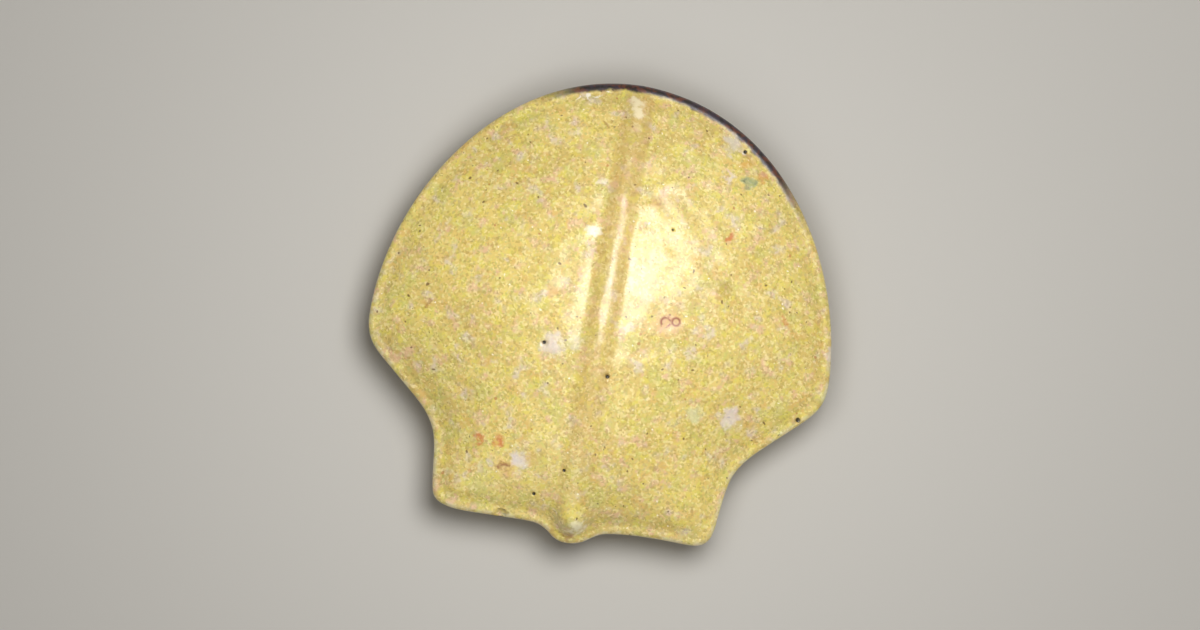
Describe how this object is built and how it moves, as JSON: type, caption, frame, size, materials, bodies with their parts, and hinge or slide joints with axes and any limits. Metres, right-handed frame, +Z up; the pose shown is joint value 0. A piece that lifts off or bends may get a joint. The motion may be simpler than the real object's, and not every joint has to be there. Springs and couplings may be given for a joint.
{
  "type": "brachiopod fossil",
  "caption": "Whole smooth fossil shell with a round disc, square ears on a straight hinge line, a small beak and a low median fold, lying on its worn lower valve.",
  "frame": {"origin": "on the flat resting face, under the middle of the shell's width and length", "axes": "+Z up through the thickness of the two shut valves, +Y from the beak to the round front margin, +X to the right along the hinge line"},
  "size_m": [0.0466, 0.0464, 0.0128],
  "materials": {
    "shell_calcite": "smooth, glossy cream-yellow calcite, finely mottled, with small rusty, brown and pale specks and a dark stain along the front edge"
  },
  "bodies": {
    "root": {"brachiopod_fossil": "shell_calcite"}
  },
  "joints": []
}
